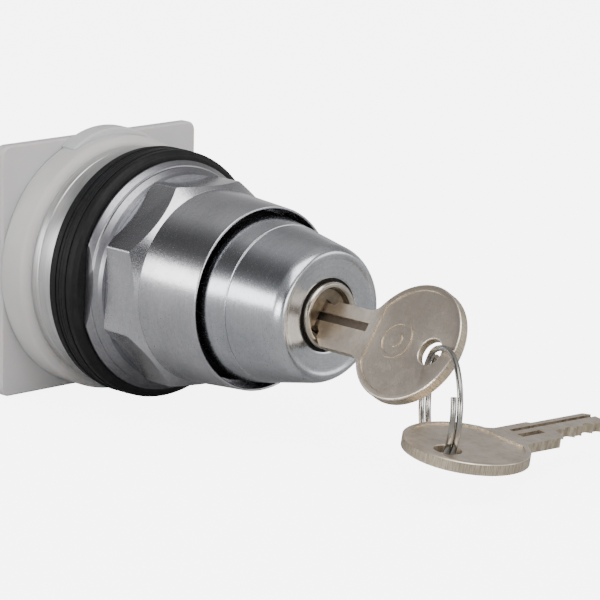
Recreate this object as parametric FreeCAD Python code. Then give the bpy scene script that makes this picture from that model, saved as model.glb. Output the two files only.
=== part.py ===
import FreeCAD, Part
import math
import os

# Key-operated selector switch operator for a 30 mm panel hole.
# Frame: the switch axis is Y, the key comes out towards -Y, +Z is up and the
# origin is the centre of the seat that the panel is clamped against. Millimetres.

V = FreeCAD.Vector
AXIS_Y = V(0, 1, 0)

# --- base behind the panel ---------------------------------------------------
PLATE_SIZE = 44.45
PLATE_THICK = 2.0
PLATE_CORNER = 1.8
PLATE_FRONT = 8.2
FLANGE_R = 22.6
FLANGE_FRONT = 1.8
SEAT_RING_R = 20.9
LUG_R = 16.0
LUG_TOP = 23.8
LUG_THICK = 3.5
LUG_HALF = 9.0
HOUSING_SIZE = 28.0
HOUSING_DEPTH = 6.0
HOUSING_WALL = 1.8
HOUSING_SCREW_AT = 11.2
BLOCK_SCREW_AT = 10.4
BLOCK_SCREW_R = 1.35

# --- barrel and what is clamped on it ----------------------------------------
BARREL_R = 14.95
BARREL_BORE = 12.0
BARREL_FRONT = -26.5
THREAD_PITCH = 1.5
THREAD_DEPTH = 0.6
KEYWAY_WIDTH = 4.4
KEYWAY_R = 16.6
CLAMP_BORE = 15.4
PANEL_WASHER_R = 21.0
PANEL_WASHER_FRONT = -3.9
LINER_COUNT = 5
LINER_THICK = 0.85
LINER_R = 21.8
GASKET_FRONT = -10.3
TRIM_R = 20.25
TRIM_FLAT = 19.0
NUT_REAR = -13.7
NUT_FRONT = -21.65
NUT_CHAMFER = 2.25
NUT_FLATS = 34.7
NUT_SIDES = 8
NUT_TWIST = -2.0
COLLAR_ROOT_R = 16.83
COLLAR_MOUTH_R = 15.9
COLLAR_MOUTH = -34.8
COLLAR_BORE = 15.0
COLLAR_MOUTH_BORE = 15.45

# --- lock head ----------------------------------------------------------------
HEAD_NECK_R = 13.3
HEAD_SKIRT = -34.6
HEAD_SKIRT_R = 14.25
HEAD_SEAM = -39.6
HEAD_SEAM_R = 13.45
HEAD_EDGE = -49.9
HEAD_EDGE_R = 11.65
HEAD_FACE_R = 10.7
HEAD_FACE = -51.1
HEAD_DISH = 0.6
PLUG_HOLE_R = 6.25
PLUG_R = 5.7
PLUG_FRONT = -51.35
PLUG_REAR = -33.0
PLUG_SINK = 1.5
SLEEVE_R = 8.4
WAFER_COUNT = 5
WAFER_PITCH = 2.4

# --- switching mechanism ------------------------------------------------------
KEY_ANGLE = 35.0
SHAFT_R = 3.0
CAM_R = 11.4
CAM_FRONT = -6.0
CAM_MID = 1.0
PLUNGER_AT = 8.0
PLUNGER_STROKE = 3.0
PLUNGER_R = 1.7
RUNNING_GAP = 0.05
# The cam's rear face is one inclined plane, so that a plunger rides half the
# stroke above or below the middle when the key is turned by KEY_ANGLE.
CAM_SLOPE = PLUNGER_STROKE / 2 / (PLUNGER_AT * math.sin(math.radians(KEY_ANGLE)))

# --- keys and split ring ------------------------------------------------------
BOW_R = 10.5
BOW_THICK = 2.0
BOW_AT = -71.0
BOW_OFFSET = -1.4
FIELD_R = 9.5
FIELD_DEPTH = 0.25
SHOULDER = 9.0
BLADE_THICK = 1.7
NECK_LOW = -4.4
NECK_HIGH = 3.8
NECK_END = 19.3
BLADE_LOW = -2.0
BLADE_HIGH = 3.2
BLADE_END = 33.4
KEY_HOLE_R = 2.3
KEY_HOLE_AT = -5.2
KEY_HOLE_SIDE = -0.6
KEY_CUTS = (0.9, 1.3, 0.6, 1.1, 0.8)
WIDE_GROOVE = 1.5
WIDE_GROOVE_DEPTH = 0.6
NARROW_GROOVE = 0.9
NARROW_GROOVE_DEPTH = 0.4
RING_R = 9.25
RING_WIRE_R = 0.5
RING_LAYER = 1.1
RING_YAW = 29.7
RING_LEAN = -3.6
RING_AT = V(-3.62, -80.85, -8.96)
SPARE_AT = V(-2.64, -85.88, -15.2)
SPARE_TURN = FreeCAD.Rotation(2.6, 2.5, 7.5)

os.makedirs("parts", exist_ok=True)


def save(name, shape):
    shape.exportStep("parts/" + name + ".step")


def turned(profile):
    """Solid of revolution about the switch axis; profile is (radius, y) corners."""
    corners = [V(radius, y, 0) for radius, y in profile]
    face = Part.Face(Part.makePolygon(corners + corners[:1]))
    solid = Part.Solid(face.revolve(V(), AXIS_Y, 360))
    if solid.Volume < 0:
        solid.reverse()
    return solid


def rod(radius, y0, y1, x=0.0, z=0.0):
    low, high = min(y0, y1), max(y0, y1)
    return Part.makeCylinder(radius, high - low, V(x, low, z), AXIS_Y)


def box(x0, x1, y0, y1, z0, z1):
    return Part.makeBox(x1 - x0, y1 - y0, z1 - z0, V(x0, y0, z0))


def soften(shape, size, wanted):
    """Rounds the circular edges for which wanted(radius, y) is true."""
    edges = []
    for edge in shape.Edges:
        if edge.Degenerated:
            continue
        if isinstance(edge.Curve, Part.Circle) and wanted(edge.Curve.Radius, edge.Curve.Center.y):
            edges.append(edge)
    return shape.makeFillet(size, edges)


def near(value, target, within=0.02):
    return abs(value - target) < within


def turn_to_key(shape):
    """Turns an upright piece of the lock to the angle that the key rests at."""
    shape.rotate(V(), AXIS_Y, KEY_ANGLE)
    return shape


# --- base ---------------------------------------------------------------------

def base_plate():
    half = PLATE_SIZE / 2
    plate = box(-half, half, PLATE_FRONT, PLATE_FRONT + PLATE_THICK, -half, half)
    corners = [e for e in plate.Edges if near(abs(e.Vertexes[0].X), half)
               and near(e.Vertexes[0].X, e.Vertexes[-1].X)
               and near(e.Vertexes[0].Z, e.Vertexes[-1].Z)]
    plate = plate.makeFillet(PLATE_CORNER, corners)
    rims = [e for e in plate.Edges if near(e.BoundBox.YMin, PLATE_FRONT)
            and near(e.BoundBox.YMax, PLATE_FRONT)]
    plate = plate.makeChamfer(0.35, rims)
    plate = plate.cut(rod(BARREL_BORE, 0, 20))
    for x in (-HOUSING_SCREW_AT, HOUSING_SCREW_AT):
        for z in (-HOUSING_SCREW_AT, HOUSING_SCREW_AT):
            plate = plate.cut(rod(1.25, 0, 20, x, z))
    return plate


def base_flange():
    flange = turned([(BARREL_R + 0.05, PLATE_FRONT), (FLANGE_R, PLATE_FRONT),
                     (FLANGE_R, FLANGE_FRONT), (BARREL_R + 0.05, FLANGE_FRONT)])
    return soften(flange, 0.5, lambda r, y: near(r, FLANGE_R) and near(y, FLANGE_FRONT))


def locating_lug():
    """Broad tab that stands up behind the panel's top edge of the flange."""
    centre = LUG_TOP - LUG_R
    tab = rod(LUG_R, PLATE_FRONT - LUG_THICK, PLATE_FRONT - 0.02, 0, centre)
    tab = soften(tab, 0.4, lambda r, y: near(y, PLATE_FRONT - LUG_THICK))
    tab = tab.common(box(-LUG_HALF, LUG_HALF, 0, 20, 0, 30))
    return tab.cut(rod(FLANGE_R + 0.02, 0, 20))


def seat_ring():
    ring = turned([(BARREL_R + 0.05, FLANGE_FRONT - 0.02), (SEAT_RING_R, FLANGE_FRONT - 0.02),
                   (SEAT_RING_R, 0), (BARREL_R + 0.05, 0)])
    return soften(ring, 0.3, lambda r, y: near(r, SEAT_RING_R) and near(y, 0))


def barrel():
    """Threaded tube through the panel hole, with the key that stops it turning."""
    profile = [(BARREL_BORE, PLATE_FRONT - 0.02), (BARREL_R, PLATE_FRONT - 0.02)]
    y = PANEL_WASHER_FRONT
    profile.append((BARREL_R, y))
    while y - THREAD_PITCH > BARREL_FRONT + 0.6:
        profile.append((BARREL_R - THREAD_DEPTH, y - THREAD_PITCH * 0.45))
        profile.append((BARREL_R - THREAD_DEPTH, y - THREAD_PITCH * 0.55))
        profile.append((BARREL_R, y - THREAD_PITCH * 0.9))
        profile.append((BARREL_R, y - THREAD_PITCH))
        y -= THREAD_PITCH
    profile += [(BARREL_R, BARREL_FRONT + 0.5), (BARREL_R - 0.5, BARREL_FRONT),
                (BARREL_BORE, BARREL_FRONT)]
    tube = turned(profile)
    half = KEYWAY_WIDTH / 2 - 0.3
    key = box(-half, half, PANEL_WASHER_FRONT, -0.02, BARREL_R - 0.6, KEYWAY_R - 0.4)
    pin_hole = Part.makeCylinder(1.0, 4, V(0, CAM_FRONT + 1.5, BARREL_BORE - 1), V(0, 0, 1))
    return tube.fuse(key).removeSplitter().cut(pin_hole)


def rear_housing():
    """Shallow box behind the plate that guides the plungers."""
    half = HOUSING_SIZE / 2
    front = PLATE_FRONT + PLATE_THICK + 0.02
    rear = front + HOUSING_DEPTH
    shell = box(-half, half, front, rear, -half, half)
    shell = shell.makeFillet(1.5, [e for e in shell.Edges if near(e.Length, HOUSING_DEPTH)])
    inner = half - HOUSING_WALL
    shell = shell.cut(box(-inner, inner, front - 1, rear - HOUSING_WALL, -inner, inner))
    for x in (-HOUSING_SCREW_AT, HOUSING_SCREW_AT):
        for z in (-HOUSING_SCREW_AT, HOUSING_SCREW_AT):
            post = box(min(x, x * 1.2), max(x, x * 1.2), front, rear, min(z, z * 1.2), max(z, z * 1.2))
            shell = shell.fuse(rod(2.6, front, rear, x, z).fuse(post))
    for z in (-BLOCK_SCREW_AT, BLOCK_SCREW_AT):
        shell = shell.fuse(rod(2.9, front, rear, 0, z))
    outer = box(-half, half, front, rear, -half, half)
    outer = outer.makeFillet(1.5, [e for e in outer.Edges if near(e.Length, HOUSING_DEPTH)])
    shell = shell.common(outer).removeSplitter()
    for x in (-HOUSING_SCREW_AT, HOUSING_SCREW_AT):
        for z in (-HOUSING_SCREW_AT, HOUSING_SCREW_AT):
            shell = shell.cut(rod(1.3, front - 1, rear + 1, x, z))
            shell = shell.cut(rod(2.25, rear - 1.4, rear + 1, x, z))
    for z in (-BLOCK_SCREW_AT, BLOCK_SCREW_AT):
        shell = shell.cut(rod(BLOCK_SCREW_R, front - 1, rear + 1, 0, z))
    for x in (-PLUNGER_AT, PLUNGER_AT):
        shell = shell.cut(rod(PLUNGER_R + RUNNING_GAP, front - 1, rear + 1, x, 0))
    return shell


def housing_screws():
    """Four pan-head screws that hold the rear housing to the plate."""
    rear = PLATE_FRONT + PLATE_THICK + HOUSING_DEPTH
    screws = []
    for x in (-HOUSING_SCREW_AT, HOUSING_SCREW_AT):
        for z in (-HOUSING_SCREW_AT, HOUSING_SCREW_AT):
            screw = rod(1.2, PLATE_FRONT + 0.3, rear - 1.3, x, z).fuse(rod(2.15, rear - 1.35, rear - 0.2, x, z))
            slot = box(x - 3, x + 3, rear - 0.7, rear + 1, z - 0.3, z + 0.3)
            screws.append(screw.cut(slot).removeSplitter())
    return Part.makeCompound(screws)


# --- parts clamped on the barrel ------------------------------------------------

def notched(ring):
    """Cuts the notch that fits over the barrel's key."""
    half = KEYWAY_WIDTH / 2
    return ring.cut(box(-half, half, -20, 2, 0, KEYWAY_R))


def panel_washer():
    rear = -0.05
    ring = turned([(CLAMP_BORE, rear), (PANEL_WASHER_R, rear),
                   (PANEL_WASHER_R, PANEL_WASHER_FRONT), (CLAMP_BORE, PANEL_WASHER_FRONT)])
    return notched(soften(ring, 0.35, lambda r, y: near(r, PANEL_WASHER_R)))


def liner(index):
    rear = PANEL_WASHER_FRONT - index * LINER_THICK
    front = rear - LINER_THICK + 0.01
    bevel = 0.13
    ring = turned([(CLAMP_BORE, rear), (LINER_R - bevel, rear), (LINER_R, rear - bevel),
                   (LINER_R, front + bevel), (LINER_R - bevel, front), (CLAMP_BORE, front)])
    return notched(ring)


def gasket():
    rear = PANEL_WASHER_FRONT - LINER_COUNT * LINER_THICK
    ring = turned([(CLAMP_BORE, rear), (LINER_R - 0.15, rear), (LINER_R, rear - 0.15),
                   (LINER_R, GASKET_FRONT + 0.7), (LINER_R - 0.9, GASKET_FRONT),
                   (CLAMP_BORE, GASKET_FRONT)])
    return notched(ring)


def trim_washer():
    """Bright stepped washer between the gasket and the nut."""
    rear = GASKET_FRONT - 0.01
    ring = turned([(CLAMP_BORE, rear), (TRIM_R - 0.2, rear), (TRIM_R, rear - 0.25),
                   (TRIM_R, rear - 0.6), (TRIM_R - 0.75, rear - 1.5), (TRIM_R - 1.0, rear - 1.6),
                   (TRIM_R - 1.0, rear - 1.9), (TRIM_R - 1.8, rear - 2.7),
                   (TRIM_R - 2.1, NUT_REAR + 0.05), (CLAMP_BORE, NUT_REAR + 0.05)])
    flats = box(-TRIM_FLAT, TRIM_FLAT, NUT_REAR - 1, rear + 1, -TRIM_R - 1, TRIM_R + 1)
    flats.rotate(V(), AXIS_Y, -NUT_TWIST)
    ring = ring.common(flats)
    return notched(ring)


def ring_nut():
    """Eight-sided ring nut with a long smooth collar, made in one piece."""
    corner_r = NUT_FLATS / 2 / math.cos(math.pi / NUT_SIDES)
    corners = []
    for side in range(NUT_SIDES):
        angle = math.radians(NUT_TWIST) + math.pi * (2 * side + 1) / NUT_SIDES
        corners.append(V(corner_r * math.cos(angle), NUT_REAR, corner_r * math.sin(angle)))
    octagon = Part.Face(Part.makePolygon(corners + corners[:1]))
    prism = octagon.extrude(V(0, NUT_FRONT - NUT_REAR, 0))
    chamfer = turned([(0, NUT_REAR), (corner_r - 0.15, NUT_REAR), (corner_r, NUT_REAR - 0.15),
                      (corner_r, NUT_FRONT + NUT_CHAMFER), (COLLAR_ROOT_R, NUT_FRONT),
                      (0, NUT_FRONT)])
    collar = turned([(0, NUT_FRONT + 1), (COLLAR_ROOT_R, NUT_FRONT + 1), (COLLAR_ROOT_R, NUT_FRONT),
                     (COLLAR_MOUTH_R, COLLAR_MOUTH), (0, COLLAR_MOUTH)])
    nut = prism.common(chamfer).fuse(collar).removeSplitter()
    nut = nut.cut(rod(COLLAR_BORE, 0, -60)).cut(rod(COLLAR_MOUTH_BORE, BARREL_FRONT, -60))
    return soften(nut, 0.2, lambda r, y: near(y, COLLAR_MOUTH))


def lip_seal():
    """Rubber lip seal between the barrel's mouth and the lock head."""
    return turned([(HEAD_NECK_R + 0.05, BARREL_FRONT - 0.02), (14.7, BARREL_FRONT - 0.02),
                   (14.7, BARREL_FRONT - 4.2), (14.2, BARREL_FRONT - 4.9),
                   (HEAD_NECK_R + 0.15, BARREL_FRONT - 5.4), (HEAD_NECK_R + 0.05, BARREL_FRONT - 5.4)])


# --- lock head -----------------------------------------------------------------

def lock_head():
    """Hollow cone with a skirt inside the collar, a low bead and a rounded front edge."""
    wall_front = HEAD_FACE + 1.5
    profile = [(SLEEVE_R + 0.1, BARREL_FRONT + 6), (BARREL_BORE - 0.05, BARREL_FRONT + 6),
               (BARREL_BORE - 0.05, BARREL_FRONT - 0.05), (HEAD_NECK_R, BARREL_FRONT - 0.05),
               (HEAD_NECK_R, HEAD_SKIRT + 0.9), (HEAD_SKIRT_R, HEAD_SKIRT),
               (HEAD_SKIRT_R, HEAD_SKIRT - 0.8), (HEAD_SEAM_R + 0.05, HEAD_SEAM + 0.25),
               (HEAD_SEAM_R + 0.15, HEAD_SEAM + 0.1), (HEAD_SEAM_R + 0.15, HEAD_SEAM - 0.15),
               (HEAD_SEAM_R, HEAD_SEAM - 0.3), (HEAD_EDGE_R, HEAD_EDGE),
               (HEAD_FACE_R, HEAD_FACE), (HEAD_FACE_R - 0.5, HEAD_FACE),
               (HEAD_FACE_R - 1.1, HEAD_FACE + 0.2), (PLUG_HOLE_R, HEAD_FACE + HEAD_DISH),
               (PLUG_HOLE_R, wall_front), (SLEEVE_R + 0.1, wall_front)]
    head = turned(profile)
    return soften(head, 0.5, lambda r, y: near(y, HEAD_EDGE) or near(r, HEAD_FACE_R))


def lock_sleeve():
    sleeve = turned([(PLUG_R + RUNNING_GAP, HEAD_FACE + 1.55), (SLEEVE_R, HEAD_FACE + 1.55),
                     (SLEEVE_R, PLUG_REAR), (PLUG_R + RUNNING_GAP, PLUG_REAR)])
    for z in (-1, 1):
        channel = box(-2.6, 2.6, HEAD_FACE + 2.4, PLUG_REAR - 0.8, min(z * 5.0, z * 7.2), max(z * 5.0, z * 7.2))
        channel.rotate(V(), AXIS_Y, KEY_ANGLE)
        sleeve = sleeve.cut(channel)
    return sleeve


def dust_ring():
    return turned([(PLUG_R + RUNNING_GAP, HEAD_FACE + 1.5), (PLUG_HOLE_R - 0.02, HEAD_FACE + 1.5),
                   (PLUG_HOLE_R - 0.02, HEAD_FACE + 0.95), (PLUG_R + RUNNING_GAP, HEAD_FACE + 0.95)])


def wafer_ys():
    return [PLUG_FRONT + 3.4 + index * WAFER_PITCH for index in range(WAFER_COUNT)]


def lock_plug():
    """Turning plug with a raised rim, a sunk face and the keyway."""
    plug = turned([(0, PLUG_REAR), (PLUG_R, PLUG_REAR), (PLUG_R, PLUG_FRONT + 0.3),
                   (PLUG_R - 0.3, PLUG_FRONT), (PLUG_R - 0.75, PLUG_FRONT),
                   (PLUG_R - 1.05, PLUG_FRONT + 0.35), (PLUG_R - 1.35, PLUG_FRONT + PLUG_SINK),
                   (0, PLUG_FRONT + PLUG_SINK + 0.1)])
    low = BOW_OFFSET + BLADE_LOW - 0.06
    high = BOW_OFFSET + BLADE_HIGH + 0.06
    half = BLADE_THICK / 2 + 0.05
    plug = plug.cut(box(-half, half, PLUG_FRONT - 1, BOW_AT + BLADE_END + 0.5, low, high))
    mouth = box(-half - 0.35, half + 0.35, PLUG_FRONT - 1, PLUG_FRONT + PLUG_SINK + 0.6,
                low - 0.35, high + 0.35)
    plug = plug.cut(mouth)
    for y in wafer_ys():
        plug = plug.cut(box(-2.45, 2.45, y - 0.45, y + 0.45, -PLUG_R, PLUG_R))
    plug = plug.cut(box(-1.05, 1.05, PLUG_REAR - 2.1, PLUG_REAR + 1, -2.7, 2.7))
    return turn_to_key(plug)


def wafers():
    """Five thin brass wafers, drawn level with the plug by the key."""
    low = BOW_OFFSET + BLADE_LOW - 0.12
    high = BOW_OFFSET + BLADE_HIGH + 0.12
    plates = []
    for y in wafer_ys():
        plate = box(-2.4, 2.4, y - 0.4, y + 0.4, -4.95, 4.95)
        plates.append(plate.cut(box(-1.05, 1.05, y - 1, y + 1, low, high)))
    return turn_to_key(Part.makeCompound(plates))


# --- switching mechanism ---------------------------------------------------------

def drive_shaft():
    shaft = turned([(0, PLUG_REAR), (SHAFT_R, PLUG_REAR), (SHAFT_R, -13.2), (2.4, -13.2),
                    (2.4, -12.4), (SHAFT_R, -12.4), (SHAFT_R, -0.4), (0, -0.4)])
    tongue = box(-0.95, 0.95, PLUG_REAR - 1.9, PLUG_REAR + 0.5, -2.6, 2.6)
    shaft = shaft.fuse(tongue).removeSplitter()
    flat = box(2.4, 4, CAM_FRONT - 0.05, 1, -4, 4)
    return turn_to_key(shaft.cut(flat))


def shaft_clip():
    """Open ring clip in the shaft's groove, ahead of the bearing."""
    clip = turned([(2.45, -13.15), (4.6, -13.15), (4.6, -12.45), (2.45, -12.45)])
    return turn_to_key(clip.cut(box(-1.9, 1.9, -14, -12, -6, 0)))


def bearing_bush():
    bush = turned([(SHAFT_R + RUNNING_GAP, -12.3), (BARREL_BORE - 0.05, -12.3),
                   (BARREL_BORE - 0.05, -7.6), (SHAFT_R + 2.5, -7.6), (SHAFT_R + 2.5, -6.3),
                   (SHAFT_R + RUNNING_GAP, -6.3)])
    return bush


def cam():
    """Swash cam: one inclined rear face pushes the plungers in turn."""
    drum = rod(CAM_R, CAM_FRONT, 6)
    slope = math.degrees(math.atan(CAM_SLOPE))
    above = box(-20, 20, 0, 40, -30, 30)
    above.rotate(V(), V(1, 0, 0), -slope)
    above.translate(V(0, CAM_MID, 0))
    drum = drum.cut(above)
    bore = rod(SHAFT_R + 0.03, CAM_FRONT - 1, 10).cut(box(2.45, 5, -20, 20, -5, 5))
    drum = drum.cut(bore)
    reach = math.radians(KEY_ANGLE + 7)
    fan = [V(0, CAM_FRONT - 1, 0)]
    for step in range(9):
        angle = -reach + 2 * reach * step / 8
        fan.append(V(20 * math.sin(angle), CAM_FRONT - 1, 20 * math.cos(angle)))
    sector = Part.Face(Part.makePolygon(fan + fan[:1])).extrude(V(0, 4.2, 0))
    drum = drum.cut(sector.cut(rod(9.2, -20, 20)))
    return turn_to_key(drum)


def stop_pin():
    """Pin through the barrel wall that ends the cam's travel both ways."""
    return Part.makeCylinder(0.95, 4.4, V(0, CAM_FRONT + 1.5, 9.9), V(0, 0, 1))


def cam_height(x, key_angle):
    """Where the cam's inclined face stands behind the point (x, 0)."""
    return CAM_MID + CAM_SLOPE * x * math.sin(math.radians(key_angle))


def ball_centre(x):
    slope = math.atan(CAM_SLOPE)
    return cam_height(x, KEY_ANGLE) + PLUNGER_R / math.cos(slope) + 0.1


def plunger(x):
    """Round-nosed rod that rides on the cam and works a contact block."""
    nose = ball_centre(x)
    rear = PLATE_FRONT + PLATE_THICK + HOUSING_DEPTH
    middle = ball_centre(0)
    tip = rear + 2.5 + nose - middle
    piece = rod(PLUNGER_R, nose, tip, x, 0).fuse(Part.makeSphere(PLUNGER_R, V(x, nose, 0)))
    piece = piece.fuse(rod(2.9, nose + 1.8, nose + 2.8, x, 0)).removeSplitter()
    return soften(piece, 0.4, lambda r, y: near(y, tip))


def plunger_spring(x):
    """Coil between the plunger's collar and the rear wall of the housing."""
    start = ball_centre(x) + 2.85
    end = PLATE_FRONT + PLATE_THICK + 0.02 + HOUSING_DEPTH - HOUSING_WALL - 0.05
    wire_r = 0.22
    mean_r = 2.45
    height = end - start - 2 * wire_r
    helix = Part.makeHelix(height / 5, height, mean_r)
    section = Part.Wire(Part.makeCircle(wire_r, V(mean_r, 0, 0), V(0, 1, 0)))
    coil = Part.Wire(helix.Edges).makePipeShell([section], True, True)
    coil.rotate(V(), V(1, 0, 0), -90)
    coil.translate(V(x, start + wire_r, 0))
    return coil


# --- keys and ring ----------------------------------------------------------------

def slab(x0, x1, y0, y1, thick):
    return Part.makeBox(x1 - x0, y1 - y0, thick, V(x0, y0, -thick / 2))


def disc(radius, z0, z1, x=0.0, y=0.0):
    return Part.makeCylinder(radius, z1 - z0, V(x, y, z0))


def key_blank():
    """Flat key: bow centred on the origin, blade along +X, thickness along Z."""
    half = BOW_THICK / 2
    bow = disc(BOW_R, -half, half)
    bow = bow.makeFillet(0.35, [e for e in bow.Edges if near(e.Length, 2 * math.pi * BOW_R)])
    bow = bow.cut(Part.makeBox(10, 40, 10, V(SHOULDER, -20, -5)))
    core = disc(BOW_R, -BLADE_THICK / 2, BLADE_THICK / 2)
    outline = [(4, NECK_LOW), (NECK_END - 1.0, NECK_LOW), (NECK_END + 1.6, BLADE_LOW),
               (NECK_END + 1.6, BLADE_HIGH), (NECK_END, BLADE_HIGH),
               (NECK_END - 0.6, NECK_HIGH), (4, NECK_HIGH)]
    corners = [V(x, y, -BLADE_THICK / 2) for x, y in outline]
    neck = Part.Face(Part.makePolygon(corners + corners[:1])).extrude(V(0, 0, BLADE_THICK))
    stem = core.fuse(neck).removeSplitter()
    joins = [e for e in stem.Edges if near(e.Length, BLADE_THICK) and 6 < e.Vertexes[0].X < 12]
    stem = stem.makeFillet(2.6, joins)
    blade = slab(NECK_END - 2, BLADE_END, BLADE_LOW, BLADE_HIGH, BLADE_THICK)
    tips = [e for e in blade.Edges if near(e.Length, BLADE_THICK) and near(e.Vertexes[0].X, BLADE_END)]
    blade = blade.makeChamfer(1.0, tips)
    return bow.fuse(stem).fuse(blade).removeSplitter()


def key_cut(index, depth):
    """One V-sided bitting cut in the blade's lower edge."""
    middle = BLADE_END - 2.6 - index * WAFER_PITCH
    low = BLADE_LOW
    corners = [V(middle - 0.5 - depth, low - 1, -2), V(middle - 0.5 - depth, low, -2),
               V(middle - 0.5, low + depth, -2), V(middle + 0.5, low + depth, -2),
               V(middle + 0.5 + depth, low, -2), V(middle + 0.5 + depth, low - 1, -2)]
    return Part.Face(Part.makePolygon(corners + corners[:1])).extrude(V(0, 0, 4))


def field(side):
    """Sunk field on one face of the bow, clipped by the shoulder."""
    half = BOW_THICK / 2
    low = half - FIELD_DEPTH if side > 0 else -half - 1
    sunk = disc(FIELD_R, low, low + 1 + FIELD_DEPTH)
    return sunk.cut(Part.makeBox(20, 40, 10, V(SHOULDER - 0.9, -20, -5)))


def make_key():
    half = BOW_THICK / 2
    key = key_blank()
    for side in (1, -1):
        key = key.cut(field(side))
    floor = -half + FIELD_DEPTH
    ring = disc(3.3, floor - 0.2, floor + 0.1, 3.0, 0).cut(disc(2.75, floor - 1, floor + 1, 3.0, 0))
    key = key.fuse(ring).fuse(disc(1.3, floor - 0.2, floor + 0.1, 3.0, 0)).removeSplitter()
    key = key.cut(disc(KEY_HOLE_R, -3, 3, KEY_HOLE_AT, KEY_HOLE_SIDE))
    rims = [e for e in key.Edges if near(e.Length, 2 * math.pi * KEY_HOLE_R)]
    key = key.makeFillet(0.25, rims)
    middle = (BLADE_LOW + BLADE_HIGH) / 2
    face = BLADE_THICK / 2
    wide = V(SHOULDER + 1.1, middle - 0.6, -face - 1 + WIDE_GROOVE_DEPTH)
    narrow = V(SHOULDER + 3.6, middle + 0.6, face - NARROW_GROOVE_DEPTH)
    pocket = V(SHOULDER + 3.2, middle - 2.0, face - NARROW_GROOVE_DEPTH)
    key = key.cut(Part.makeBox(BLADE_END, WIDE_GROOVE, 1, wide))
    key = key.cut(Part.makeBox(BLADE_END, NARROW_GROOVE, 1, narrow))
    key = key.cut(Part.makeBox(5.5, 1.3, 1, pocket))
    for index, depth in enumerate(KEY_CUTS):
        key = key.cut(key_cut(index, depth))
    return key


def key_in_lock():
    key = make_key()
    key.rotate(V(), V(1, 1, 1), 120)
    key.translate(V(0, BOW_AT, BOW_OFFSET))
    return turn_to_key(key)


def spare_key():
    key = make_key()
    key.Placement = FreeCAD.Placement(SPARE_AT, SPARE_TURN)
    return key


def wire_arc(start, end, height):
    """Length of ring wire between two angles, in the plane z = height."""
    section = Part.Face(Part.Wire(Part.makeCircle(RING_WIRE_R, V(RING_R, 0, height), V(0, 1, 0))))
    section.rotate(V(), V(0, 0, 1), start)
    arc = Part.Solid(section.revolve(V(), V(0, 0, 1), end - start))
    if arc.Volume < 0:
        arc.reverse()
    return arc


def wire_crossing(start, end, low, high):
    """The short stretch where the wire steps from one layer to the other."""
    sections = []
    steps = 10
    for step in range(steps + 1):
        share = step / steps
        angle = start + (end - start) * share
        height = low + (high - low) * (1 - math.cos(math.pi * share)) / 2
        circle = Part.Wire(Part.makeCircle(RING_WIRE_R, V(RING_R, 0, height), V(0, 1, 0)))
        circle.rotate(V(), V(0, 0, 1), angle)
        sections.append(circle)
    return Part.makeLoft(sections, True, False)


def split_ring():
    """Double-turn split ring: two layers of wire joined by one crossing."""
    half = RING_LAYER / 2
    upper = wire_arc(-238, 22, half)
    lower = wire_arc(-225, 70, -half)
    crossing = wire_crossing(70, 122, -half, half)
    ring = upper.fuse(crossing).fuse(lower)
    yaw = math.radians(RING_YAW)
    lean = math.radians(RING_LEAN)
    out = V(-math.sin(yaw), -math.cos(yaw), 0)
    across = out.cross(V(0, 0, 1))
    up = V(0, 0, 1) * math.cos(lean) + across * math.sin(lean)
    turn = FreeCAD.Rotation(out, up, out.cross(up), "XYZ")
    ring.Placement = FreeCAD.Placement(RING_AT, turn)
    return ring


save("base_plate", base_plate())
save("base_flange", base_flange())
save("locating_lug", locating_lug())
save("seat_ring", seat_ring())
save("barrel", barrel())
save("rear_housing", rear_housing())
save("housing_screws", housing_screws())
save("panel_washer", panel_washer())
for number in range(LINER_COUNT):
    save("liner_" + str(number + 1), liner(number))
save("gasket", gasket())
save("trim_washer", trim_washer())
save("ring_nut", ring_nut())
save("lip_seal", lip_seal())
save("lock_head", lock_head())
save("lock_sleeve", lock_sleeve())
save("dust_ring", dust_ring())
save("lock_plug", lock_plug())
save("wafers", wafers())
save("drive_shaft", drive_shaft())
save("shaft_clip", shaft_clip())
save("bearing_bush", bearing_bush())
save("cam", cam())
save("stop_pin", stop_pin())
save("plunger_right", plunger(PLUNGER_AT))
save("plunger_left", plunger(-PLUNGER_AT))
save("spring_right", plunger_spring(PLUNGER_AT))
save("spring_left", plunger_spring(-PLUNGER_AT))
save("key", key_in_lock())
save("split_ring", split_ring())
save("spare_key", spare_key())
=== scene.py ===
import bpy
import bmesh
import math
from mathutils import Matrix, Quaternion, Vector


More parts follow.
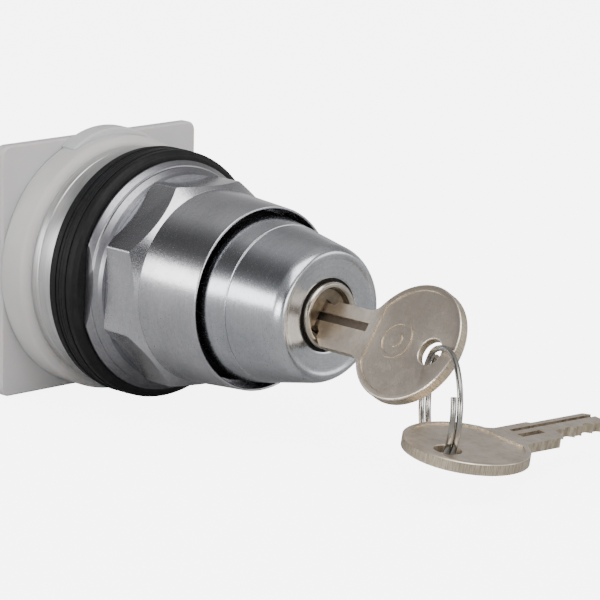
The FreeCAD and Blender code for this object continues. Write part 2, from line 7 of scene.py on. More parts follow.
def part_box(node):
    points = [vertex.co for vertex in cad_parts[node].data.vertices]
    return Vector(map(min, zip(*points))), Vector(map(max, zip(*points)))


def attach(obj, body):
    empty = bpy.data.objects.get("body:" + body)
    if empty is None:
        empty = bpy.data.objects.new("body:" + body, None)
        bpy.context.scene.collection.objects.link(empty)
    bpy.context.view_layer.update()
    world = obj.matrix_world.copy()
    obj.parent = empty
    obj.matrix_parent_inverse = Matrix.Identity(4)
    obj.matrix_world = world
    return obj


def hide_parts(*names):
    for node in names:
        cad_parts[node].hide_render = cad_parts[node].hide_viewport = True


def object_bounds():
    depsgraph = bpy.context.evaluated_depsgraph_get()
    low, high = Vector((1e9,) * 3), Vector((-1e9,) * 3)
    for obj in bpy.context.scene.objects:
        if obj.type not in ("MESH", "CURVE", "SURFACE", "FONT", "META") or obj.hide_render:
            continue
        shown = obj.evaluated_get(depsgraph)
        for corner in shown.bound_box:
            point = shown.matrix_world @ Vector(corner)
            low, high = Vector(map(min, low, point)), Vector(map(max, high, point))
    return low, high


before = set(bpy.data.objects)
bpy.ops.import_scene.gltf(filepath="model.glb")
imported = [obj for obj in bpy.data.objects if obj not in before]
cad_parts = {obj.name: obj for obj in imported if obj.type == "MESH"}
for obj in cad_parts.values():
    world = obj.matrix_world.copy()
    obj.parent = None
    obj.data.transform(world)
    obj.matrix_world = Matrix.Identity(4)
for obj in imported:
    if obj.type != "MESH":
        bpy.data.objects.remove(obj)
cad_low, cad_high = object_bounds()
MM = 0.001


# --- Base: square plate, round flange and locating lug -------------------------------------------
# Moulded in frosted nylon. The plate is flat with a small chamfer, the flange in front of it has
# a rounded rim, and the lug stands up from the flange and keeps the switch upright in its panel.

class Value:
    """A shader socket that can be used in sums."""

    def __init__(self, finish, socket):
        self.finish = finish
        self.socket = socket

    def joined(self, operation, first, second):
        return self.finish.use("ShaderNodeMath", {"operation": operation}, {0: first, 1: second})

    def __add__(self, other):
        return self.joined("ADD", self, other)

    def __radd__(self, other):
        return self.joined("ADD", other, self)

    def __sub__(self, other):
        return self.joined("SUBTRACT", self, other)

    def __rsub__(self, other):
        return self.joined("SUBTRACT", other, self)

    def __mul__(self, other):
        return self.joined("MULTIPLY", self, other)

    def __rmul__(self, other):
        return self.joined("MULTIPLY", other, self)


class Finish:
    """A procedural material: use() adds a node, and wear() feeds the surface shader."""

    def __init__(self, name, **even):
        self.material = bpy.data.materials.new(name)
        self.material.use_nodes = True
        self.tree = self.material.node_tree
        self.shader = self.tree.nodes["Principled BSDF"]
        for socket, value in even.items():
            self.shader.inputs[socket.replace("_", " ")].default_value = value

    def feed(self, socket, value):
        if isinstance(value, Value):
            self.tree.links.new(value.socket, socket)
        elif isinstance(value, tuple) and len(value) == 3 and socket.type == "RGBA":
            socket.default_value = (*value, 1.0)
        else:
            socket.default_value = value

    def use(self, kind, settings=None, inputs=None, output=0):
        node = self.tree.nodes.new(kind)
        for name, value in (settings or {}).items():
            if name == "stops":
                ramp = node.color_ramp
                for index, (place, shade) in enumerate(value):
                    stop = ramp.elements[index] if index < 2 else ramp.elements.new(place)
                    stop.position = place
                    stop.color = (shade, shade, shade, 1.0)
            else:
                setattr(node, name, value)
        for name, value in (inputs or {}).items():
            self.feed(node.inputs[name], value)
        return Value(self, node.outputs[output])

    def wear(self, **sockets):
        for name, value in sockets.items():
            self.feed(self.shader.inputs[name.replace("_", " ")], value)
        return self.material

    def place(self):
        return self.use("ShaderNodeTexCoord", output="Object")

    def noise(self, scale, detail=3.0, place=None, roughness=0.5):
        inputs = {"Vector": place or self.place(), "Scale": scale, "Detail": detail,
                  "Roughness": roughness}
        return self.use("ShaderNodeTexNoise", inputs=inputs)

    def span(self, value, low, high, new_low=0.0, new_high=1.0):
        inputs = {"Value": value, "From Min": low, "From Max": high,
                  "To Min": new_low, "To Max": new_high}
        return self.use("ShaderNodeMapRange", {"clamp": True}, inputs)

    def blend(self, share, first, second):
        inputs = {0: share, 6: first, 7: second}
        return self.use("ShaderNodeMix", {"data_type": "RGBA"}, inputs, output=2)

    def bump(self, height, depth):
        inputs = {"Height": height, "Distance": depth, "Strength": 1.0}
        return self.use("ShaderNodeBump", inputs=inputs)

    def lathe(self, around, along):
        """Coordinates for marks that run round the switch axis, as a lathe leaves them."""
        parts = self.use("ShaderNodeSeparateXYZ", inputs={0: self.place()}, output=0)
        node = parts.socket.node
        x, y, z = (Value(self, node.outputs[index]) for index in range(3))
        turn = self.use("ShaderNodeMath", {"operation": "ARCTAN2"}, {0: z, 1: x})
        reach = self.use("ShaderNodeMath", {"operation": "POWER"}, {0: x * x + z * z, 1: 0.5})
        inputs = {0: turn * around, 1: (y + reach * 0.7) * along, 2: reach * along * 0.3}
        return self.use("ShaderNodeCombineXYZ", inputs=inputs)


def frosted(name, light, dark):
    """Frosted nylon: milky, fine-grained, a little darker where it is thick."""
    finish = Finish(name, Subsurface_Weight=0.25, Subsurface_Scale=0.004, IOR=1.5)
    cloud = finish.noise(70.0, 3.0)
    grain = finish.noise(2600.0, 2.0)
    colour = finish.blend(finish.span(cloud, 0.3, 0.7), light, dark)
    height = grain * 0.6 + finish.noise(900.0, 2.0) * 0.4
    return finish.wear(Base_Color=colour, Roughness=0.42 + cloud * 0.2,
                       Normal=finish.bump(height, 0.00004))


def turned(name, outline, steps=160, crisp=30.0):
    """A closed outline of (radius, y, rounding), in millimetres, spun round the switch axis."""
    mesh = bmesh.new()
    corners = [mesh.verts.new((radius * MM, y * MM, 0.0)) for radius, y, rounding in outline]
    mesh.faces.new(corners)
    for corner, (radius, y, rounding) in zip(corners, outline):
        if rounding:
            bmesh.ops.bevel(mesh, geom=[corner], offset=rounding * MM, offset_type="OFFSET",
                            segments=5, profile=0.5, affect="VERTICES", material=-1)
    bmesh.ops.delete(mesh, geom=mesh.faces[:], context="FACES_ONLY")
    bmesh.ops.spin(mesh, geom=mesh.verts[:] + mesh.edges[:], cent=(0, 0, 0), axis=(0, 1, 0),
                   angle=math.tau, steps=steps, use_merge=True)
    return finished(mesh, name, crisp)


def finished(mesh, name, crisp=30.0):
    """Closes a bmesh into an object with smooth faces and crisp edges."""
    bmesh.ops.remove_doubles(mesh, verts=mesh.verts[:], dist=0.000001)
    bmesh.ops.recalc_face_normals(mesh, faces=mesh.faces[:])
    for face in mesh.faces:
        face.smooth = True
    data = bpy.data.meshes.new(name)
    mesh.to_mesh(data)
    mesh.free()
    data.set_sharp_from_angle(angle=math.radians(crisp))
    piece = bpy.data.objects.new(name, data)
    bpy.context.scene.collection.objects.link(piece)
    return piece


def fitted(piece, material, body, node):
    """Gives a piece its material and its body, and hides the part of the design that it stands for.
    """
    piece.data.materials.append(material)
    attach(piece, body)
    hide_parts(node)


def extent(node):
    """Front y and rear y of a node, in millimetres."""
    low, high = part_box(node)
    return low.y / MM, high.y / MM


def kept(node, material, crisp=30.0, edge=0.0):
    """Dresses a part of the design: welded, smooth, with crisp or slightly rounded edges."""
    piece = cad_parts[node]
    piece.data.materials.clear()
    piece.data.materials.append(material)
    for face in piece.data.polygons:
        face.use_smooth = True
    weld = piece.modifiers.new("weld", "WELD")
    weld.merge_threshold = 0.000002
    if edge:
        rounding = piece.modifiers.new("rounding", "BEVEL")
        rounding.width = edge * MM
        rounding.segments = 2
        rounding.limit_method = "ANGLE"
        rounding.angle_limit = math.radians(crisp)
        rounding.use_clamp_overlap = True
    split = piece.modifiers.new("crisp_edges", "EDGE_SPLIT")
    split.split_angle = math.radians(crisp)
    return piece


frosted_plate = frosted("frosted_plate", (0.54, 0.53, 0.533), (0.49, 0.483, 0.486))
frosted_flange = frosted("frosted_flange", (0.56, 0.545, 0.53), (0.48, 0.47, 0.46))
flange_front, flange_rear = extent("base_flange")
flange_r = 22.6
bore_r = 15.0
flange = turned("moulded_flange", [
    (bore_r, flange_rear, 0), (flange_r - 0.25, flange_rear, 0.1),
    (flange_r, flange_rear - 0.5, 0.2),
    (flange_r, flange_front + 0.9, 0.5), (flange_r - 0.7, flange_front + 0.25, 0.3),
    (21.35, flange_front + 0.02, 0.2), (bore_r, flange_front + 0.02, 0)])
fitted(flange, frosted_flange, "operator", "base_flange")
kept("base_plate", frosted_plate)
kept("locating_lug", frosted_plate)


# --- Seat ring and panel washer ------------------------------------------------------------------
# Two turned aluminium rings that grip the panel's edge between them. Their rims are rounded, and
# the lathe leaves fine lines round both.

def lathed(name, light, dark, roughness, lines=7000.0):
    """Metal with the fine rings of a lathe and a slow change of shade."""
    finish = Finish(name, Metallic=1.0)
    rings = finish.noise(1.0, 2.0, finish.lathe(1.2, lines))
    grain = finish.noise(6500.0, 2.0)
    cloud = finish.noise(120.0, 3.0)
    colour = finish.blend(finish.span(rings * 0.6 + cloud * 0.4, 0.35, 0.65), light, dark)
    rough = roughness + rings * 0.08 + cloud * 0.08
    height = rings * 0.7 + grain * 0.3
    return finish.wear(Base_Color=colour, Roughness=rough, Normal=finish.bump(height, 0.000006))


aluminium = lathed("turned_aluminium", (0.70, 0.70, 0.69), (0.52, 0.52, 0.52), 0.3)
seat_front, seat_rear = extent("seat_ring")
seat_r = 20.9
seat = turned("seat_ring_turned", [
    (bore_r, seat_rear, 0), (seat_r, seat_rear, 0), (seat_r, seat_front + 0.25, 0.15),
    (seat_r - 0.25, seat_front, 0.1), (bore_r, seat_front, 0)])
fitted(seat, aluminium, "operator", "seat_ring")
clamp_bore = 15.4
washer_front, washer_rear = extent("panel_washer")
washer_r = 21.0
washer = turned("panel_washer_turned", [
    (clamp_bore, washer_rear, 0), (washer_r, washer_rear, 0.3), (washer_r, washer_front, 0.35),
    (clamp_bore, washer_front, 0)])
fitted(washer, aluminium, "clamp", "panel_washer")


# --- Barrel --------------------------------------------------------------------------------------
# Threaded tube of die-cast zinc that goes through the panel, with a rib that holds the washers
# and liners against turning. It is plated, and duller than the trim.

cast = lathed("plated_casting", (0.50, 0.50, 0.51), (0.40, 0.40, 0.41), 0.38, 2500.0)
kept("barrel", cast)


# --- Rear housing and its screws -----------------------------------------------------------------
# Shallow grey moulding behind the plate that guides the plungers, held by four pan-head screws
# of zinc-plated steel.

def moulded(name, light, dark, roughness):
    """Moulded plastic with a fine spark-eroded grain and slight flow marks."""
    finish = Finish(name, IOR=1.5)
    grain = finish.noise(1800.0, 3.0)
    flow = finish.noise(90.0, 2.0)
    colour = finish.blend(finish.span(flow * 0.7 + grain * 0.3, 0.35, 0.65), light, dark)
    return finish.wear(Base_Color=colour, Roughness=roughness + flow * 0.15,
                       Normal=finish.bump(grain, 0.00002))


housing_grey = moulded("housing_grey", (0.36, 0.36, 0.36), (0.30, 0.30, 0.31), 0.42)
screw_steel = lathed("zinc_plated_steel", (0.62, 0.61, 0.58), (0.48, 0.48, 0.47), 0.28, 3000.0)
kept("rear_housing", housing_grey, 30.0, 0.12)
kept("housing_screws", screw_steel, 30.0, 0.06)


# --- Liners and gasket ---------------------------------------------------------------------------
# Five thin rubber liners take up the thickness of the panel, and a thicker gasket with a bevelled
# front seals it. They are stamped and stacked by hand, so no two stand quite alike.

def rubber(name, lines):
    """Black rubber, slightly shiny, scuffed round its rim."""
    finish = Finish(name, IOR=1.5, Specular_IOR_Level=0.22)
    rings = finish.noise(1.0, 3.0, finish.lathe(2.5, lines))
    scuff = finish.noise(420.0, 4.0)
    dust = finish.span(scuff * 0.6 + rings * 0.4, 0.50, 0.72, 0.0, 0.5)
    colour = finish.blend(dust, (0.0055, 0.0055, 0.006), (0.022, 0.022, 0.023))
    return finish.wear(Base_Color=colour, Roughness=0.42 + scuff * 0.22,
                       Normal=finish.bump(rings * 0.7 + scuff * 0.3, 0.00006))


black_rubber = rubber("black_rubber", 3200.0)
liner_r = 21.8
for number in range(1, 6):
    node = "liner_" + str(number)
    front, rear = extent(node)
    reach = liner_r - 0.05 - 0.09 * math.sin(number * 2.3)
    rim = 0.2 + 0.04 * math.cos(number * 1.7)
    liner = turned(node + "_rubber", [
        (clamp_bore, rear - 0.02, 0), (reach, rear - 0.02, rim), (reach, front + 0.02, rim),
        (clamp_bore, front + 0.02, 0)])
    fitted(liner, black_rubber, "clamp", node)
gasket_front, gasket_rear = extent("gasket")
gasket = turned("gasket_rubber", [
    (clamp_bore, gasket_rear - 0.03, 0), (liner_r - 0.1, gasket_rear - 0.03, 0.22),
    (liner_r, gasket_front + 0.75, 0.3), (liner_r - 0.9, gasket_front + 0.02, 0.25),
    (clamp_bore, gasket_front, 0)])
fitted(gasket, black_rubber, "clamp", "gasket")


# --- Trim washer ---------------------------------------------------------------------------------
# Chromed brass washer, turned in steps so that it shows as dull and bright bands between the
# black gasket and the nut. Two flats are milled on its rim, in line with the nut's sides.

def satin_chrome(name, light, dark, roughness, lines=9000.0, depth=0.0000022, grain_depth=0.35):
    """Satin chrome plate: faintly ringed, pebbled as die-cast metal is, with small dull flecks."""
    finish = Finish(name, Metallic=1.0)
    rings = finish.noise(1.0, 2.0, finish.lathe(0.8, lines))
    pebble = finish.noise(1500.0, 3.0)
    cloud = finish.noise(85.0, 3.0)
    speck = finish.span(finish.noise(3800.0, 3.0), 0.60, 0.72)
    shade = finish.span(cloud * 0.6 + rings * 0.2 + pebble * 0.2, 0.38, 0.62)
    colour = finish.blend(shade, light, dark)
    colour = finish.blend(speck * 0.5, colour, tuple(part * 0.6 for part in dark))
    rough = roughness + cloud * 0.07 + speck * 0.12
    height = rings * 0.5 + pebble * grain_depth
    return finish.wear(Base_Color=colour, Roughness=rough, Normal=finish.bump(height, depth))


trim_chrome = satin_chrome("trim_chrome", (0.34, 0.34, 0.36), (0.22, 0.22, 0.24), 0.3)
trim_front, trim_rear = extent("trim_washer")
trim_r = 20.2
trim_flat = 18.97
nut_twist = math.radians(-2.0)
trim = turned("trim_washer_round", [
    (clamp_bore, trim_rear - 0.02, 0), (trim_r - 0.2, trim_rear - 0.02, 0.1),
    (trim_r, trim_rear - 0.25, 0.1),
    (trim_r, trim_rear - 0.6, 0.12), (trim_r - 0.75, trim_rear - 1.5, 0.08),
    (trim_r - 1.0, trim_rear - 1.6, 0.05), (trim_r - 1.0, trim_rear - 1.9, 0.1),
    (trim_r - 1.8, trim_rear - 2.7, 0.12), (trim_r - 2.1, trim_front, 0),
    (clamp_bore, trim_front, 0)])
mesh = bmesh.new()
mesh.from_mesh(trim.data)
bpy.data.objects.remove(trim)
for side in (-1, 1):
    outward = Vector((math.cos(nut_twist), 0, math.sin(nut_twist))) * side
    cut = bmesh.ops.bisect_plane(mesh, geom=mesh.verts[:] + mesh.edges[:] + mesh.faces[:],
                                 plane_co=outward * trim_flat * MM, plane_no=outward,
                                 clear_outer=True)
    cut_edges = [edge for edge in cut["geom_cut"] if isinstance(edge, bmesh.types.BMEdge)]
    bmesh.ops.holes_fill(mesh, edges=cut_edges)
trim = finished(mesh, "trim_washer_turned")
fitted(trim, trim_chrome, "clamp", "trim_washer")


# --- Ring nut ------------------------------------------------------------------------------------
# Die-cast zinc, satin chromed: an eight-sided nut whose front corners are turned off to a cone,
# and a long smooth collar with a rounded lip, in one piece.

def shared(piece, tool):
    """Keeps only what two pieces have in common, as a bmesh, and removes both."""
    cut = piece.modifiers.new("cut", "BOOLEAN")
    cut.operation = "INTERSECT"
    cut.solver = "EXACT"
    cut.object = tool
    graph = bpy.context.evaluated_depsgraph_get()
    data = bpy.data.meshes.new_from_object(piece.evaluated_get(graph))
    mesh = bmesh.new()
    mesh.from_mesh(data)
    bpy.data.objects.remove(piece)
    bpy.data.objects.remove(tool)
    return mesh


nut_chrome = satin_chrome("nut_chrome", (0.62, 0.62, 0.64), (0.44, 0.44, 0.47), 0.19, 6000.0,
                          0.0000065, 1.2)
collar_front, nut_rear = extent("ring_nut")
nut_front = nut_rear - 7.95
nut_chamfer = 2.25
nut_bore = 15.0
sides = 8
flats = 34.7
corner_r = flats / 2 / math.cos(math.pi / sides)
corner_rounding = 0.3
collar_root_r = 16.83
collar_mouth_r = 15.9
mesh = bmesh.new()
facing = Matrix.Rotation(math.pi / 2, 4, "X")
facing = facing @ Matrix.Rotation(math.pi / sides + nut_twist, 4, "Z")
bmesh.ops.create_circle(mesh, cap_ends=True, segments=sides, radius=corner_r * MM,
                        matrix=Matrix.Translation((0, nut_rear * MM, 0)) @ facing)
grown = bmesh.ops.extrude_face_region(mesh, geom=mesh.faces[:])
ends = [part for part in grown["geom"] if isinstance(part, bmesh.types.BMVert)]
bmesh.ops.translate(mesh, verts=ends, vec=(0, (nut_front - nut_rear) * MM, 0))
long_edges = [edge for edge in mesh.edges if abs(edge.verts[0].co.y - edge.verts[1].co.y) > MM]
bmesh.ops.bevel(mesh, geom=long_edges, offset=corner_rounding * MM, offset_type="OFFSET",
                segments=4, profile=0.5, affect="EDGES", material=-1)
prism = finished(mesh, "nut_flats")
cone = turned("nut_cone", [
    (nut_bore, nut_rear + 1, 0), (corner_r + 1, nut_rear + 1, 0),
    (corner_r + 1, nut_front + nut_chamfer, 0), (corner_r, nut_front + nut_chamfer, 0),
    (collar_root_r, nut_front, 0), (collar_root_r, nut_front - 1, 0),
    (nut_bore, nut_front - 1, 0)])
nut = finished(shared(prism, cone), "nut_flats", 25.0)
mouth_bore = 15.45
mouth_depth = 8.3
collar = turned("nut_collar", [
    (nut_bore, nut_front + 1, 0), (collar_root_r - 0.02, nut_front + 1, 0),
    (collar_root_r - 0.02, nut_front - 0.05, 0), (collar_mouth_r, collar_front, 0.2),
    (mouth_bore, collar_front, 0.2), (mouth_bore, collar_front + mouth_depth, 0),
    (nut_bore, collar_front + mouth_depth, 0)], 192)
for piece in (nut, collar):
    fitted(piece, nut_chrome, "nut", "ring_nut")


# --- Lip seal ------------------------------------------------------------------------------------
# Black rubber ring that fills the deep gap between the collar and the lock head.

kept("lip_seal", black_rubber)


# --- Lock head -----------------------------------------------------------------------------------
# Hollow cone of chromed zinc over the lock, with a wider skirt inside the nut's collar. A fine
# seam runs round it, the front edge is rounded, and the face is dished round the plug.

head_chrome = satin_chrome("head_chrome", (0.58, 0.595, 0.625), (0.40, 0.415, 0.44), 0.19, 8000.0,
                           0.0000020, 0.6)
head_front, head_rear = extent("lock_head")
barrel_front = -26.5
head_seam = -39.6
sleeve_r = 8.5
plug_hole_r = 6.25
skirt = -34.6
skirt_r = 14.25
neck_r = 13.3
neck_bore = 11.95
seam_r = 13.45
edge_r = 11.65
head = turned("lock_head_shell", [
    (sleeve_r, head_rear, 0), (neck_bore, head_rear, 0), (neck_bore, barrel_front - 0.05, 0),
    (neck_r, barrel_front - 0.05, 0), (neck_r, skirt + 0.9, 0.3), (skirt_r, skirt, 0.3),
    (skirt_r, skirt - 0.8, 0.6), (seam_r + 0.14, head_seam + 0.3, 0.05),
    (seam_r + 0.13, head_seam + 0.02, 0.05), (seam_r - 0.06, head_seam - 0.05, 0.05),
    (seam_r, head_seam - 0.3, 0.05), (edge_r, head_front + 1.2, 0.8),
    (edge_r - 0.9, head_front, 0.45), (10.1, head_front + 0.02, 0.3),
    (9.5, head_front + 0.28, 0.5),
    (plug_hole_r + 0.25, head_front + 0.62, 0.2), (plug_hole_r, head_front + 0.75, 0.12),
    (plug_hole_r, head_front + 1.5, 0), (sleeve_r, head_front + 1.5, 0)], 192, 40.0)
fitted(head, head_chrome, "operator", "lock_head")


# --- Lock: sleeve, dust ring, plug and wafers ----------------------------------------------------
# A brass sleeve is pressed into the head, and a nickel-plated plug turns in it. Five stamped brass
# wafers cross the plug, and a thin black ring keeps dust out of the gap in front.

brass = lathed("turned_brass", (0.72, 0.55, 0.27), (0.60, 0.45, 0.20), 0.25)
plug_front = -51.35


def plug_finish():
    """Warm nickel on the rim; the sunk face is dull and brown with old oil."""
    finish = Finish("plug_nickel", Metallic=1.0)
    rings = finish.noise(1.0, 2.0, finish.lathe(1.2, 5200.0))
    cloud = finish.noise(420.0, 4.0)
    split = finish.use("ShaderNodeSeparateXYZ", inputs={0: finish.place()}).socket.node
    depth = Value(finish, split.outputs[1])
    sunk = finish.span(depth, (plug_front + 0.5) * MM, (plug_front + 1.0) * MM)
    shade = finish.span(cloud * 0.6 + rings * 0.4, 0.35, 0.65)
    rim = finish.blend(shade, (0.60, 0.55, 0.47), (0.44, 0.40, 0.34))
    oily = finish.blend(finish.span(cloud, 0.35, 0.65), (0.24, 0.195, 0.14), (0.11, 0.085, 0.055))
    colour = finish.blend(sunk * 0.9, rim, oily)
    return finish.wear(Base_Color=colour, Roughness=0.2 + cloud * 0.1 + sunk * 0.14,
                       Normal=finish.bump(rings * 0.6 + cloud, 0.000006))


kept("lock_sleeve", brass)
kept("dust_ring", black_rubber)
kept("lock_plug", plug_finish(), 25.0, 0.07)
kept("wafers", brass)


# --- Drive: shaft, clip, bush, cam, stop pin, plungers and springs -------------------------------
# The plug's tail drives a steel shaft in an acetal bush, held by an open clip. The shaft turns a
# black acetal cam whose slanted rear face pushes two red plungers against their steel springs.

bright_steel = lathed("bright_steel", (0.60, 0.60, 0.61), (0.48, 0.48, 0.50), 0.20, 4200.0)
natural_acetal = moulded("natural_acetal", (0.72, 0.70, 0.63), (0.64, 0.62, 0.55), 0.34)
black_acetal = moulded("black_acetal", (0.022, 0.022, 0.024), (0.034, 0.034, 0.036), 0.30)
red_acetal = moulded("red_acetal", (0.42, 0.035, 0.025), (0.33, 0.025, 0.020), 0.30)
for node in ("drive_shaft", "shaft_clip", "stop_pin", "spring_right", "spring_left"):
    kept(node, bright_steel)
kept("bearing_bush", natural_acetal)
kept("cam", black_acetal)
kept("plunger_right", red_acetal)
kept("plunger_left", red_acetal)


# --- Keys ----------------------------------------------------------------------------------------
# Two stamped keys of nickel-plated brass. The flat faces are satin with pits and stains, the
# grooves are painted dark, part dirt and part painted shade, and the sheared edge keeps its
# ribs and shows the brass.

def key_finish(name, place):
    """Nickel on a stamped blank; the edge ribs follow the bow's own centre."""
    finish = Finish(name, Metallic=1.0)
    inputs = {"Vector": finish.place(), "Location": place.to_translation(),
              "Rotation": place.to_euler("XYZ")}
    own = finish.use("ShaderNodeMapping", {"vector_type": "TEXTURE"}, inputs)
    split = finish.use("ShaderNodeSeparateXYZ", inputs={0: own}).socket.node
    x, y, z = (Value(finish, split.outputs[index]) for index in range(3))
    facing = finish.use("ShaderNodeTexCoord", output="Normal")
    across = place.to_3x3() @ Vector((0, 0, 1))
    level = finish.use("ShaderNodeVectorMath", {"operation": "DOT_PRODUCT"},
                       {0: facing, 1: across}, "Value")
    level = finish.use("ShaderNodeMath", {"operation": "ABSOLUTE"}, {0: level})
    edge = finish.span(level, 0.25, 0.6, 1.0, 0.0)
    depth = finish.use("ShaderNodeMath", {"operation": "ABSOLUTE"}, {0: z})
    # The groove floors are painted dark brown: part dirt, part painted shade.
    groove_dirt_and_shade = finish.span(depth, 0.00055, 0.00072, 1.0, 0.0) * (1.0 - edge)
    turn = finish.use("ShaderNodeMath", {"operation": "ARCTAN2"}, {0: y, 1: x})
    along = finish.use("ShaderNodeCombineXYZ", inputs={0: turn * 70.0, 1: z * 420.0, 2: x * 900.0})
    ribs = finish.noise(1.0, 2.0, along)
    cloud = finish.noise(230.0, 5.0, roughness=0.62)
    grain = finish.noise(3600.0, 3.0)
    pits = finish.span(finish.noise(1500.0, 3.0, roughness=0.6), 0.60, 0.72)
    stain = finish.span(finish.noise(520.0, 5.0, roughness=0.7), 0.50, 0.70)
    plate = finish.blend(finish.span(cloud, 0.35, 0.65), (0.88, 0.775, 0.66), (0.66, 0.575, 0.48))
    plate = finish.blend(stain * 0.45 + pits * 0.25, plate, (0.42, 0.35, 0.28))
    bronze = finish.blend(finish.span(ribs, 0.4, 0.6), (0.60, 0.52, 0.39), (0.34, 0.285, 0.20))
    colour = finish.blend(edge * 0.85, plate, bronze)
    colour = finish.blend(groove_dirt_and_shade * 0.85, colour, (0.085, 0.065, 0.05))
    height = grain * 0.5 + ribs * edge * 3.0 + cloud * 1.6 - pits * 0.5
    rough = 0.27 + cloud * 0.14 + stain * 0.08 + edge * 0.06 + groove_dirt_and_shade * 0.2
    return finish.wear(Base_Color=colour, Roughness=rough, Normal=finish.bump(height, 0.000014))


key_angle = math.radians(35.0)
bow_at = Vector((0.0, -71.0, -1.4)) * MM
upright = Matrix.Translation(bow_at) @ Matrix.Rotation(math.radians(120.0), 4, Vector((1, 1, 1)))
key_place = Matrix.Rotation(key_angle, 4, "Y") @ upright
spare_turn = Matrix.Rotation(math.radians(2.6), 4, "Z") @ Matrix.Rotation(math.radians(2.5), 4, "Y")
spare_turn = spare_turn @ Matrix.Rotation(math.radians(7.5), 4, "X")
spare_bow_at = Vector((-2.64, -85.88, -15.2)) * MM
spare_place = Matrix.Translation(spare_bow_at) @ spare_turn
kept("key", key_finish("key_nickel", key_place), 25.0)
kept("spare_key", key_finish("spare_key_nickel", spare_place), 25.0)


# --- Split ring ----------------------------------------------------------------------------------
# Hard bright wire wound two turns round, one beside the other, with a short crossing where it
# steps over and both ends cut square.

def wire_finish():
    """Drawn wire with fine lines and dull patches."""
    finish = Finish("ring_wire", Metallic=1.0)
    lines = finish.noise(5200.0, 2.0)
    cloud = finish.noise(260.0, 3.0)
    colour = finish.blend(finish.span(cloud, 0.35, 0.65), (0.50, 0.48, 0.445), (0.29, 0.275, 0.25))
    return finish.wear(Base_Color=colour, Roughness=0.16 + cloud * 0.14,
                       Normal=finish.bump(lines, 0.000004))


def wound(mesh, section, angle, rise, steps):
    """Carries a wire section round the ring's axis, rising as it goes."""
    swept = bmesh.ops.spin(mesh, geom=section, cent=(0, 0, 0), axis=(0, 0, 1),
                           angle=math.radians(angle), dvec=(0, 0, rise / steps), steps=steps,
                           use_merge=False)
    return swept["geom_last"]


ring_r = 9.25 * MM
wire_r = 0.5 * MM
layer = 1.1 * MM
wire_start = math.radians(-225.0)
first_turn = 295.0
crossing = 52.0
crossing_steps = 16
second_turn = 260.0
step_angle = 2.5
mesh = bmesh.new()
stand = Matrix.Rotation(wire_start, 4, "Z") @ Matrix.Translation((ring_r, 0, -layer / 2))
bmesh.ops.create_circle(mesh, cap_ends=False, segments=20, radius=wire_r,
                        matrix=stand @ Matrix.Rotation(math.pi / 2, 4, "X"))
section = mesh.verts[:] + mesh.edges[:]
section = wound(mesh, section, first_turn, 0.0, round(first_turn / step_angle))
for step in range(crossing_steps):
    rise = layer / 2 * (math.cos(math.pi * step / crossing_steps)
                        - math.cos(math.pi * (step + 1) / crossing_steps))
    section = wound(mesh, section, crossing / crossing_steps, rise, 1)
wound(mesh, section, second_turn, 0.0, round(second_turn / step_angle))
bmesh.ops.holes_fill(mesh, edges=[edge for edge in mesh.edges if edge.is_boundary])
yaw = math.radians(29.7)
lean = math.radians(-3.6)
ring_at = Vector((-3.62, -80.85, -8.96)) * MM
out = Vector((-math.sin(yaw), -math.cos(yaw), 0))
up = Vector((0, 0, 1)) * math.cos(lean) + out.cross(Vector((0, 0, 1))) * math.sin(lean)
ring_place = Matrix((out, up, out.cross(up))).transposed().to_4x4()
ring_place = Matrix.Translation(ring_at) @ ring_place
bmesh.ops.transform(mesh, matrix=ring_place, verts=mesh.verts[:])
ring = finished(mesh, "split_ring_wire")
fitted(ring, wire_finish(), "ring", "split_ring")


# --- Floor, light and camera ---------------------------------------------------------------------
# A pale floor under the lowest edge and a graded sky, both white to the camera alone. Two dark
# cards at the left, one behind and one in front, show in the chrome. Five soft lights, one camera.

mesh = bmesh.new()
bmesh.ops.create_grid(mesh, x_segments=1, y_segments=1, size=1.5,
                      matrix=Matrix.Translation((0, 0, cad_low.z - 0.0001)))
floor = finished(mesh, "floor")
backdrop = 6.0
pale = Finish("pale_floor", Roughness=0.9, Emission_Strength=backdrop)
seen = pale.use("ShaderNodeLightPath", output="Is Camera Ray")
pale.wear(Base_Color=(0.45, 0.45, 0.45), Emission_Color=pale.blend(seen, (0, 0, 0), (1, 1, 1)))
floor.data.materials.append(pale.material)


class Studio(Finish):
    """The light that comes from all round, made with the same nodes as a finish."""

    def __init__(self, name):
        self.material = bpy.data.worlds.new(name)
        self.material.use_nodes = True
        self.tree = self.material.node_tree
        self.shader = self.tree.nodes["Background"]

    def card(self, heading, direction, inner, outer):
        """One inside a round patch of the sky, and nothing outside it."""
        middle = Vector(direction).normalized()
        inputs = {0: heading, 1: middle}
        closeness = self.use("ShaderNodeVectorMath", {"operation": "DOT_PRODUCT"}, inputs, "Value")
        return self.span(closeness, math.cos(math.radians(outer)), math.cos(math.radians(inner)))


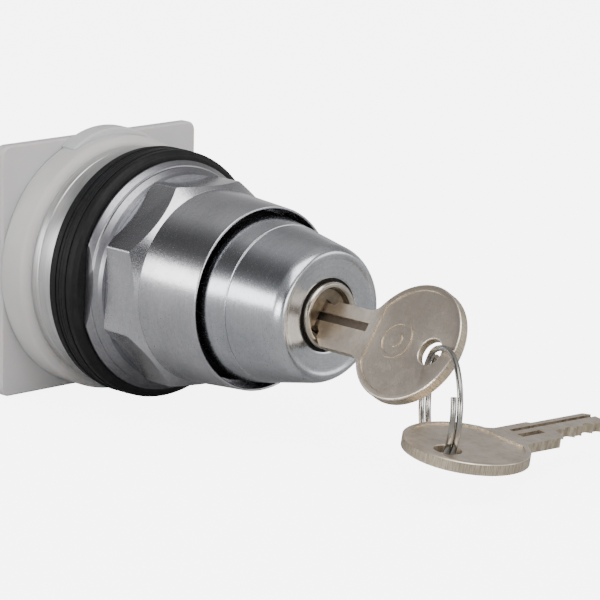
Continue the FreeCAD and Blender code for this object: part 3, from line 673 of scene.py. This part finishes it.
studio = Studio("studio")
heading = studio.use("ShaderNodeTexCoord", output="Generated")
split = studio.use("ShaderNodeSeparateXYZ", inputs={0: heading}).socket.node
height = Value(studio, split.outputs[2])
stops = ((0.0, 0.30), (0.50, 0.85), (0.56, 0.80), (0.66, 0.42), (0.80, 0.34), (1.0, 0.60))
sky = studio.use("ShaderNodeValToRGB", {"stops": stops}, {0: height * 0.5 + 0.5})
rear_card = studio.card(heading, (-0.48, 0.58, 0.66), 10.0, 30.0)
front_card = studio.card(heading, (-0.66, -0.66, 0.36), 9.0, 22.0)
sky = studio.blend(rear_card * 0.86, sky, (0.03, 0.03, 0.032))
sky = studio.blend(front_card * 0.9, sky, (0.02, 0.02, 0.022))
seen = studio.use("ShaderNodeLightPath", output="Is Camera Ray")
bpy.context.scene.world = studio.wear(Color=studio.blend(seen, sky, (backdrop, backdrop, backdrop)))


def softbox(name, azimuth, elevation, distance, width, height, power):
    """A rectangular area light that faces the switch."""
    lamp = bpy.data.lights.new(name, "AREA")
    lamp.shape = "RECTANGLE"
    lamp.size = width
    lamp.size_y = height
    lamp.energy = power
    item = bpy.data.objects.new(name, lamp)
    bpy.context.scene.collection.objects.link(item)
    a, e = math.radians(azimuth), math.radians(elevation)
    back = Vector((-math.sin(a) * math.cos(e), -math.cos(a) * math.cos(e), math.sin(e)))
    middle = Vector((0, -0.035, 0))
    turned_to = back.to_track_quat("Z", "Y").to_matrix().to_4x4()
    item.matrix_world = Matrix.Translation(middle + back * distance) @ turned_to
    item.visible_camera = False


softbox("key_light", 20, 62, 0.9, 0.7, 0.7, 7.0)
softbox("strip_light", 121, 16, 0.8, 0.46, 0.22, 2.1)
softbox("front_light", -45, 24, 1.0, 0.6, 0.5, 2.0)
softbox("low_light", 5, 7, 1.0, 0.7, 0.24, 3.0)
softbox("side_light", 78, 9, 0.9, 0.4, 0.26, 2.6)

azimuth = math.radians(43.366)
elevation = math.radians(12.548)
roll = math.radians(1.187)
ahead = Vector((math.sin(azimuth) * math.cos(elevation), math.cos(azimuth) * math.cos(elevation),
                -math.sin(elevation)))
target = Vector((24.829, -17.296, -6.681)) * MM
distance = 0.69411
lens = bpy.data.cameras.new("camera")
lens.sensor_width = 36.0
lens.lens = 235.22
lens.clip_start = 0.05
camera = bpy.data.objects.new("camera", lens)
bpy.context.scene.collection.objects.link(camera)
aim = ahead.to_track_quat("-Z", "Y") @ Quaternion((0, 0, 1), roll)
camera.matrix_world = Matrix.Translation(target - ahead * distance) @ aim.to_matrix().to_4x4()
bpy.context.scene.camera = camera
